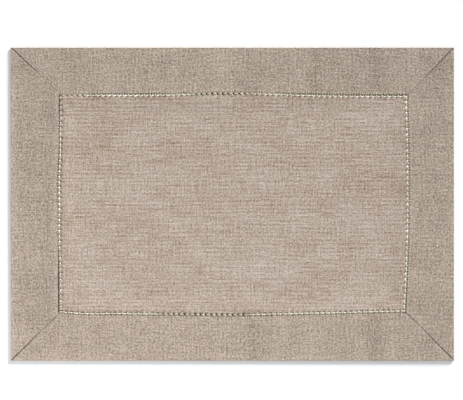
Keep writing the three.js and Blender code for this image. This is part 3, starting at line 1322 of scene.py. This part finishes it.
        place = number * self.pitch() / 2 + draw(-self.bite_place_chance, self.bite_place_chance)
        lean = np.where(number % 2, self.bite_lean, -self.bite_lean)
        lean = lean + draw(-self.bite_lean_chance, self.bite_lean_chance)
        share = number / count
        reach = ROW.reading(self.edge, "bite", share) * draw(*self.bite_spread)
        mouth = ROW.reading(self.edge, "mouth", share)
        crossing = draw(0, 1) < self.crossing_share
        start = mouth - np.where(crossing, self.crossing_start, self.bite_start)
        outward = start + (mouth + reach - start) * t
        along = place + lean * t
        before, after = self.bite_climb
        climb = ramp(outward, mouth - before, mouth + after)
        low = PANEL_LIFT + PANEL_CLOTH
        high = LIP_FOOT + self.bite_clear + ROW.reading(self.edge, "lip", share)
        height = low + (high - low) * climb - self.dive * ramp(t, self.dive_start, 1)
        radius = self.bite_strand * (1 - self.bite_taper * ramp(t, self.taper_start, 1))
        kept = reach[:, 0] > self.least_bite
        return self.paths(along, outward, height)[kept], (radius + 0 * along)[kept]

    def tubes(self, paths: np.ndarray, radius: np.ndarray) -> Shape:
        """Give threads their thickness.

        A ring of points stands round every path point, square to the path, and each end is
        closed by one face.

        Args:
            paths: Threads by path points by x, y and z.
            radius: The radius at every path point.

        Returns:
            The closed tubes.
        """
        ahead = np.gradient(paths, axis=1)
        ahead = ahead / np.linalg.norm(ahead, axis=2, keepdims=True)
        beside = np.cross(ahead, [0, 0, 1])
        beside = beside / np.linalg.norm(beside, axis=2, keepdims=True)
        above = np.cross(beside, ahead)
        angle = 2 * np.pi * np.arange(self.sides) / self.sides
        ring = (
            np.cos(angle)[:, None] * beside[:, :, None] + np.sin(angle)[:, None] * above[:, :, None]
        )
        points = paths[:, :, None] + radius[:, :, None, None] * ring
        threads, steps = paths.shape[:2]
        number = np.arange(threads * steps * self.sides).reshape(threads, steps, self.sides)
        here, turned = number[:, :-1], np.roll(number, -1, axis=2)[:, :-1]
        there, there_turned = number[:, 1:], np.roll(number, -1, axis=2)[:, 1:]
        quads = np.stack([here, there, there_turned, turned], axis=3).reshape(-1, 4)
        ends = np.concatenate([number[:, 0], number[:, -1, ::-1]])
        return Shape(points=points.reshape(-1, 3), quads=quads, fans=ends)

    def build(self, thread: bpy.types.Material) -> bpy.types.Object:
        """Make this side's thread and dress it.

        Args:
            thread: The thread's material.

        Returns:
            The thread's object.
        """
        paths, radius = (np.concatenate(pair) for pair in zip(self.wraps(), self.bites()))
        stitches = self.tubes(paths, radius).build(f"hemstitch_{self.edge.name.lower()}")
        stitches.data.materials.append(thread)
        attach(stitches, "root")
        return stitches


# Finishes


class Wire:
    """A socket of a shader, so that sums on it can be written as plain expressions."""

    def __init__(self, shader: "Shader", socket: bpy.types.NodeSocket) -> None:
        """Hold a shader's output socket."""
        self.shader = shader
        self.socket = socket

    def maths(self, operation: str, *values: "Wire | float") -> "Wire":
        """Add one Math node.

        Args:
            operation: What the node does.
            values: Its inputs in order.

        Returns:
            The node's result.
        """
        inputs = dict(enumerate(values))
        return self.shader.node("ShaderNodeMath", {"operation": operation}, inputs)

    def __add__(self, other: "Wire | float") -> "Wire":
        """Sum."""
        return self.maths("ADD", self, other)

    def __sub__(self, other: "Wire | float") -> "Wire":
        """Difference."""
        return self.maths("SUBTRACT", self, other)

    def __rsub__(self, other: float) -> "Wire":
        """Difference from a number."""
        return self.maths("SUBTRACT", other, self)

    def __mul__(self, other: "Wire | float") -> "Wire":
        """Product."""
        return self.maths("MULTIPLY", self, other)

    __radd__ = __add__
    __rmul__ = __mul__

    def sine(self) -> "Wire":
        """The sine of the value, in radians."""
        return self.maths("SINE", self)

    def size(self) -> "Wire":
        """The value without its sign."""
        return self.maths("ABSOLUTE", self)

    def step(self, low: float, high: float) -> "Wire":
        """Rise smoothly from 0 at low to 1 at high."""
        settings = {"interpolation_type": "SMOOTHSTEP"}
        return self.shader.node("ShaderNodeMapRange", settings, {0: self, 1: low, 2: high})


@dataclass(frozen=True)
class Layer:
    """One layer of noise in a pattern.

    Attributes:
        strength: How strongly it counts.
        x: Length of its features along x, in millimetres.
        y: Length of its features along y.
        detail: How many finer layers it has.
    """

    strength: float
    x: float
    y: float
    detail: float = 0.0


# Noise lies round this value.
NOISE_MIDDLE = 0.5
# How far each layer of a cloth's pattern is moved along x, so that no two look the same.
LAYER_MOVES = {
    "weft": 0, "band": 13, "warp": 31, "speckle": 57, "cloud": 83, "slub": 101, "fleck": 131,
}
DRIFT_MOVE = 7
# How far a layer is moved along y, for each unit along x.
MOVE_ASLANT = 1.7


class Shader:
    """A material whose nodes are added by method calls."""

    def __init__(self, name: str) -> None:
        """Start a material with a Principled shader.

        Args:
            name: The material's name.
        """
        self.material = bpy.data.materials.new(name)
        self.material.use_nodes = True
        self.nodes = self.material.node_tree.nodes
        self.links = self.material.node_tree.links
        self.surface = self.nodes["Principled BSDF"]

    def node(
        self, kind: str, settings: dict[str, object], inputs: dict[int | str, object],
        output: int | str = 0,
    ) -> Wire:
        """Add any node.

        Args:
            kind: The node's type.
            settings: Its own settings, set first.
            inputs: Values or wires for its sockets, by number or name.
            output: Which output to return.

        Returns:
            A wire from the output.
        """
        node = self.nodes.new(kind)
        for name, value in settings.items():
            setattr(node, name, value)
        for socket, value in inputs.items():
            self.plug(node.inputs[socket], value)
        return Wire(self, node.outputs[output])

    def plug(self, socket: bpy.types.NodeSocket, value: object) -> None:
        """Set a socket to a number or colour, or link a wire to it.

        Args:
            socket: An input socket.
            value: The number, colour or wire.
        """
        if isinstance(value, Wire):
            self.links.new(value.socket, socket)
        else:
            socket.default_value = value

    def shade(self, **inputs: object) -> None:
        """Set sockets of the Principled shader, with _ for a space in their names."""
        for name, value in inputs.items():
            self.plug(self.surface.inputs[name.replace("_", " ")], value)

    def vector(self, operation: str, inputs: dict[int, object]) -> Wire:
        """Add one Vector Math node."""
        return self.node("ShaderNodeVectorMath", {"operation": operation}, inputs)

    def on_mat(self) -> Wire:
        """Place on the mat, in millimetres."""
        metres = self.node("ShaderNodeTexCoord", {}, {}, output="Object")
        return self.vector("SCALE", {0: metres, 3: 1 / MM})

    def on_cloth(self) -> Wire:
        """Place on the unfolded cloth, in millimetres."""
        metres = self.node("ShaderNodeUVMap", {"uv_map": "cloth"}, {})
        return self.vector("SCALE", {0: metres, 3: 1 / MM})

    def number(self, place: Wire, axis: int) -> Wire:
        """One of a vector's three numbers."""
        return self.node("ShaderNodeSeparateXYZ", {}, {0: place}, output=axis)

    def noise(
        self, place: Wire, layer: Layer, move: float = 0.0, dimensions: str = "2D"
    ) -> Wire:
        """Noise from about 0.2 to 0.8.

        Args:
            place: A vector in millimetres.
            layer: The size of its features. Along z they are as long as the longer of the two.
            move: How far it is moved, in features.
            dimensions: How many of the vector's numbers it reads.

        Returns:
            The noise.
        """
        scale = (1 / layer.x, 1 / layer.y, 1 / max(layer.x, layer.y))
        scaled = self.vector("MULTIPLY", {0: place, 1: scale})
        moved = self.vector("ADD", {0: scaled, 1: (move, MOVE_ASLANT * move, 0)})
        inputs = {"Vector": moved, "Scale": 1.0, "Detail": layer.detail}
        return self.node("ShaderNodeTexNoise", {"noise_dimensions": dimensions}, inputs)

    def mix(self, factor: Wire | float, first: object, second: object) -> Wire:
        """Blend two colours, going on past them where the factor does.

        Args:
            factor: 0 for the first and 1 for the second.
            first: A colour or a wire.
            second: A colour or a wire.

        Returns:
            The blend.
        """
        settings = {"data_type": "RGBA", "clamp_factor": False}
        return self.node("ShaderNodeMix", settings, {0: factor, 6: first, 7: second}, output=2)

    def attribute(self, name: str) -> Wire:
        """A number kept on the mesh."""
        return self.node("ShaderNodeAttribute", {"attribute_name": name}, {}, output="Fac")

    def bump(self, height: Wire, distance: float, strength: float = 1.0) -> Wire:
        """The normal of a surface that a value raises.

        Args:
            height: The value.
            distance: How high 1 stands, in millimetres.
            strength: How strongly the bump counts.

        Returns:
            The normal.
        """
        inputs = {"Strength": strength, "Distance": distance * MM, "Height": height}
        return self.node("ShaderNodeBump", {}, inputs)


class Grain(Enum):
    """What a cloth's pattern follows."""

    MAT = "the mat's own directions"
    STRIP = "the unfolded strip of cloth"


# The colour of the painted shade deep in creases, seams and hollows.
PAINTED_SHADE_COLOUR = (0.03, 0.021, 0.012, 1)


@dataclass(frozen=True)
class ClothFinish:
    """Slub cloth in plain weave.

    Its yarns run from a dark to a light colour. How light a place is comes from layers of noise:
    long weft streaks along x, bands of several yarns, warp lines along y, an even speckle and
    broad clouds. Dark and light slubs, light flecks and faint regular ribs lie over them. The
    ribs run along x on the panel and across the border's strips. Yarns also raise the surface.

    Attributes:
        name: The material's name.
        grain: What the pattern follows.
        dark: The darkest yarn.
        light: The lightest yarn.
        middle: How far from dark to light the cloth is as a whole.
        weft: Streaks along x.
        band: Bands of several weft yarns.
        warp: Lines along y.
        speckle: The even speckle.
        cloud: Broad patches.
        slub: The slubs, darker or lighter than the rest.
        fleck: The flecks, lighter than the rest.
        rib: How strongly the ribs vary.
        rib_pitch: Distance from rib to rib, in millimetres.
        slub_step: The noise at which a slub begins and is full.
        fleck_step: The noise at which a fleck begins and is full.
        yarn: Width of a yarn.
        yarn_contrast: How much lighter the weft yarns are than the warp yarns.
        yarn_relief: How high a crossing of two yarns stands, as a share of the bump's height.
        drift: How far the yarns wander to and fro, and over what width and length.
        bump: Height of the yarns for the bump, in millimetres.
        crease: How much of the cloth's colour the painted shade of a full crease takes away.
        roughness: How rough the surface is.
        sheen: Strength of the fibres' sheen.
        specular: Strength of the gloss.
    """

    name: str
    grain: Grain
    dark: tuple[float, float, float, float]
    light: tuple[float, float, float, float]
    middle: float
    weft: Layer
    band: Layer
    warp: Layer
    speckle: Layer
    cloud: Layer
    slub: Layer
    fleck: Layer
    rib: float
    rib_pitch: float
    slub_step: tuple[float, float] = (0.1, 0.2)
    fleck_step: tuple[float, float] = (0.13, 0.25)
    yarn: float = 0.8
    yarn_contrast: float = 0.08
    yarn_relief: float = 0.8
    drift: Layer = Layer(1.8, 5, 60)
    bump: float = 0.09
    crease: float = 0.95
    roughness: float = 0.92
    sheen: float = 0.1
    specular: float = 0.2

    def material(self) -> bpy.types.Material:
        """Make the cloth's material.

        Returns:
            The material.
        """
        shader = Shader(self.name)
        on_mat = self.grain is Grain.MAT
        place = shader.on_mat() if on_mat else shader.on_cloth()
        noise = {
            name: shader.noise(place, getattr(self, name), move) - NOISE_MIDDLE
            for name, move in LAYER_MOVES.items()
        }
        value = self.middle
        for name in ("weft", "band", "warp", "speckle", "cloud"):
            value = noise[name] * getattr(self, name).strength + value
        slub = noise["slub"].size().step(*self.slub_step) * noise["slub"]
        fleck = noise["fleck"].step(*self.fleck_step)
        rib = (shader.number(place, 1 if on_mat else 0) * (2 * np.pi / self.rib_pitch)).sine()
        weave = self.weave(shader, place)
        value = value + slub * self.slub.strength + fleck * self.fleck.strength
        # The mesh's shade attribute carries tone, partly painted light and shade.
        value = value + rib * self.rib + weave * self.yarn_contrast + shader.attribute("shade")
        colour = shader.mix(value, self.dark, self.light)
        slubs = noise["weft"] + noise["warp"] + noise["speckle"]
        # The crease attribute is painted shade, which darkens the colour in creases, seams and
        # hollows.
        shader.shade(
            Base_Color=shader.mix(shader.attribute("crease") * self.crease, colour, PAINTED_SHADE_COLOUR),
            Roughness=self.roughness,
            Sheen_Weight=self.sheen,
            Specular_IOR_Level=self.specular,
            Normal=shader.bump(weave.size() * self.yarn_relief + slubs, self.bump),
        )
        return shader.material

    def weave(self, shader: Shader, place: Wire) -> Wire:
        """Plain weave: yarns over and under each other by turns, as sin(x) sin(y).

        Args:
            shader: The material.
            place: Place on the cloth, in millimetres.

        Returns:
            1 where a weft yarn lies on top and -1 where a warp yarn does.
        """
        waves = []
        for axis, (x, y) in enumerate(((self.drift.x, self.drift.y), (self.drift.y, self.drift.x))):
            drift = Layer(self.drift.strength, x, y)
            aside = shader.noise(place, drift, DRIFT_MOVE + axis) * drift.strength
            waves.append(((shader.number(place, axis) + aside) * (np.pi / self.yarn)).sine())
        return waves[0] * waves[1]


@dataclass(frozen=True)
class ThreadFinish:
    """Twisted cream cotton.

    Attributes:
        name: The material's name.
        colour: The thread's lighter colour.
        shade: Its darker colour.
        patch: Width of a lighter or darker patch, in millimetres.
        patch_step: The noise at which the darker colour begins and is full.
        fibre: Width of a fibre.
        fibre_height: How high a fibre stands, for the bump.
        fibre_strength: How strongly the bump counts.
        roughness: How rough the surface is.
        sheen: Strength of the fibres' sheen.
        specular: Strength of the gloss.
    """

    name: str
    colour: tuple[float, float, float, float]
    shade: tuple[float, float, float, float]
    patch: float = 2.2
    patch_step: tuple[float, float] = (0.35, 0.65)
    fibre: float = 0.25
    fibre_height: float = 0.1
    fibre_strength: float = 0.6
    roughness: float = 0.75
    sheen: float = 0.2
    specular: float = 0.3

    def material(self) -> bpy.types.Material:
        """Make the thread's material.

        Returns:
            The material.
        """
        shader = Shader(self.name)
        place = shader.on_mat()
        patches, fibres = (
            shader.noise(place, Layer(1, size, size), dimensions="3D")
            for size in (self.patch, self.fibre)
        )
        shader.shade(
            Base_Color=shader.mix(patches.step(*self.patch_step), self.colour, self.shade),
            Roughness=self.roughness,
            Sheen_Weight=self.sheen,
            Specular_IOR_Level=self.specular,
            Normal=shader.bump(fibres, self.fibre_height, self.fibre_strength),
        )
        return shader.material


# Colours are for light, so they are written as shares of light and not as screen values.
PANEL_FINISH = ClothFinish(
    name="panel_slub_cloth",
    grain=Grain.MAT,
    dark=(0.27, 0.183, 0.121, 1),
    light=(0.60, 0.537, 0.485, 1),
    middle=0.395,
    weft=Layer(0.3, 24, 1.35),
    band=Layer(0.18, 60, 2.6),
    warp=Layer(0.31, 1.4, 24),
    speckle=Layer(0.76, 2.0, 2.0),
    cloud=Layer(0.3, 60, 45, detail=1),
    slub=Layer(0.3, 20, 1.4),
    fleck=Layer(0.16, 1.8, 1.8),
    rib=0.07,
    rib_pitch=4.485,
)
BORDER_FINISH = ClothFinish(
    name="border_slub_cloth",
    grain=Grain.STRIP,
    dark=(0.214, 0.166, 0.128, 1),
    light=(0.546, 0.454, 0.379, 1),
    middle=0.4,
    weft=Layer(0.27, 18, 1.4),
    band=Layer(0.2, 60, 2.6),
    warp=Layer(0.3, 1.4, 18),
    speckle=Layer(0.9, 2.2, 2.2),
    cloud=Layer(0.25, 24, 70, detail=1),
    slub=Layer(0.0, 6, 2),
    fleck=Layer(0.34, 1.8, 1.8),
    rib=0.045,
    rib_pitch=5.2,
)
THREAD_FINISH = ThreadFinish(
    name="cream_cotton",
    colour=(0.62, 0.585, 0.43, 1),
    shade=(0.50, 0.47, 0.325, 1),
)


# Studio


@dataclass
class Studio:
    """The floor, the light and the camera, set up as for a flat product picture.

    Attributes:
        picture_width: Width of the picture in pixels.
        picture_height: Height of the picture in pixels.
        mat_middle: Where the mat's middle lies in the picture, in pixels.
        pixel: Size of a pixel on the mat, in millimetres.
        lens: Focal length in millimetres.
        sensor: Width of the sensor.
        camera_sees: How far the camera sees, in metres.
        floor_size: Width of the floor in metres.
        floor_drop: How far the floor lies below the mat's underside, in millimetres.
        floor_colour: The floor's colour.
        floor_roughness: How rough it is.
        floor_specular: Strength of its gloss.
        lit_half_length: Half the length of the lit window under the mat, in millimetres.
        lit_half_width: Half its width.
        lit_edge: Width of its soft edge.
        lit_colour: The colour of its light.
        dome: Strength of the light from all round.
        dome_colour: Colour of that light.
        low_light: Strength of the low light from the back right.
        low_elevation: How high that light stands, in degrees.
        low_azimuth: Which way it stands, in degrees from the back towards the right.
        low_spread: How wide it looks, in degrees.
        big_lamp: Strength of the lamp near the front left, in watts.
        big_lamp_size: Width of that lamp in metres.
        big_lamp_place: Where it stands, in metres.
    """

    picture_width: float = 463
    picture_height: float = 400
    mat_middle: tuple[float, float] = (232.45, 204.1)
    pixel: float = 508 / 442.9
    lens: float = 150
    sensor: float = 36
    camera_sees: float = 100
    floor_size: float = 6
    floor_drop: float = 0.2
    floor_colour: tuple[float, float, float, float] = (0.9, 0.9, 0.9, 1)
    floor_roughness: float = 0.9
    floor_specular: float = 0.1
    lit_half_length: float = 202.4
    lit_half_width: float = 129.5
    lit_edge: float = 1.0
    lit_colour: tuple[float, float, float] = (1.0, 1.0, 1.0)
    dome: float = 0.5
    dome_colour: tuple[float, float, float, float] = (0.97, 0.98, 1.0, 1)
    low_light: float = 7.2
    low_elevation: float = 14
    low_azimuth: float = 39
    low_spread: float = 14
    big_lamp: float = 2.4
    big_lamp_size: float = 0.4
    big_lamp_place: tuple[float, float, float] = (-0.45, -0.62, 0.5)

    def build(self) -> None:
        """Make the floor, the lights and the camera."""
        scene = bpy.context.scene
        scene.view_settings.view_transform = "Standard"
        self.build_floor()
        self.build_world(scene)
        self.build_lights(scene)
        self.build_camera(scene)

    def build_floor(self) -> None:
        """Lay a pale floor, with a lit window under the mat as on a light table.

        The window is smaller than the mat, so it shows only through the open hemstitch.
        """
        half = self.floor_size / 2 / MM
        points = np.array([[-half, -half], [half, -half], [half, half], [-half, half]])
        points = np.column_stack([points, np.full(len(points), -self.floor_drop)])
        floor = Shape(points=points, quads=np.array([[0, 1, 2, 3]])).build("studio_floor")
        shader = Shader("pale_floor")
        place = shader.on_mat()
        window = 1.0
        for axis, reach in enumerate((self.lit_half_length, self.lit_half_width)):
            inside = reach - shader.number(place, axis).size()
            window = inside.step(0, self.lit_edge) * window
        shader.shade(
            Base_Color=self.floor_colour,
            Roughness=self.floor_roughness,
            Specular_IOR_Level=self.floor_specular,
            Emission_Color=shader.vector("SCALE", {0: self.lit_colour, 3: window}),
            Emission_Strength=1.0,
        )
        floor.data.materials.append(shader.material)

    def build_world(self, scene: bpy.types.Scene) -> None:
        """Light the scene evenly from all round.

        Args:
            scene: The scene.
        """
        world = bpy.data.worlds.new("studio")
        world.use_nodes = True
        background = world.node_tree.nodes["Background"]
        background.inputs["Color"].default_value = self.dome_colour
        background.inputs["Strength"].default_value = self.dome
        scene.world = world

    def build_lights(self, scene: bpy.types.Scene) -> None:
        """Add the low light that draws the mat's soft shadow, and the big lamp.

        Args:
            scene: The scene.
        """
        low = bpy.data.lights.new("low_light", "SUN")
        low.energy, low.angle = self.low_light, np.radians(self.low_spread)
        rise, turn = np.radians(self.low_elevation), np.radians(self.low_azimuth)
        level = np.cos(rise)
        towards = Vector((-level * np.sin(turn), -level * np.cos(turn), -np.sin(rise)))
        self.add_lamp(scene, low, Vector(), towards)
        big = bpy.data.lights.new("big_lamp", "AREA")
        big.energy, big.size = self.big_lamp, self.big_lamp_size
        place = Vector(self.big_lamp_place)
        self.add_lamp(scene, big, place, -place)

    def add_lamp(
        self, scene: bpy.types.Scene, light: bpy.types.Light, place: Vector, towards: Vector
    ) -> None:
        """Put a lamp into the scene.

        Args:
            scene: The scene.
            light: The lamp's light.
            place: Where it stands, in metres.
            towards: Which way it shines.
        """
        lamp = bpy.data.objects.new(light.name, light)
        lamp.location = place
        lamp.rotation_euler = towards.to_track_quat("-Z", "Y").to_euler()
        scene.collection.objects.link(lamp)

    def build_camera(self, scene: bpy.types.Scene) -> None:
        """Look straight down, framed as the picture is.

        Args:
            scene: The scene.
        """
        data = bpy.data.cameras.new("camera")
        data.lens = self.lens
        data.sensor_width = self.sensor
        camera = bpy.data.objects.new("camera", data)
        height = self.picture_width * self.pixel * self.lens / self.sensor
        camera.location = (
            (self.picture_width / 2 - self.mat_middle[0]) * self.pixel * MM,
            (self.mat_middle[1] - self.picture_height / 2) * self.pixel * MM,
            height * MM,
        )
        data.clip_end = self.camera_sees
        scene.collection.objects.link(camera)
        scene.camera = camera


# The first strip's seed, how far the next one's lies from it, and the first thread's seed.
STRIP_SEED = 20
STRIP_SEED_STEP = 5
THREAD_SEED = 70


def main() -> None:
    """Build the mat piece by piece, and the studio round it."""
    logging.basicConfig(level=logging.INFO, format="%(name)s: %(message)s")
    Studio().build()
    border = BORDER_FINISH.material()
    for number, edge in enumerate(Edge):
        mitres = MITRES[number], MITRES[(number + 1) % len(MITRES)]
        seed = STRIP_SEED + STRIP_SEED_STEP * number
        BorderStrip(edge, *mitres, seed=seed).build(border)
    cream = THREAD_FINISH.material()
    for number, edge in enumerate(Edge):
        HemstitchThread(edge, seed=THREAD_SEED + number).build(cream)
    panel = CentrePanel().build(PANEL_FINISH.material())
    log.info("%s has %d faces", panel.name, len(panel.data.polygons))


if __name__ == "__main__":
    main()
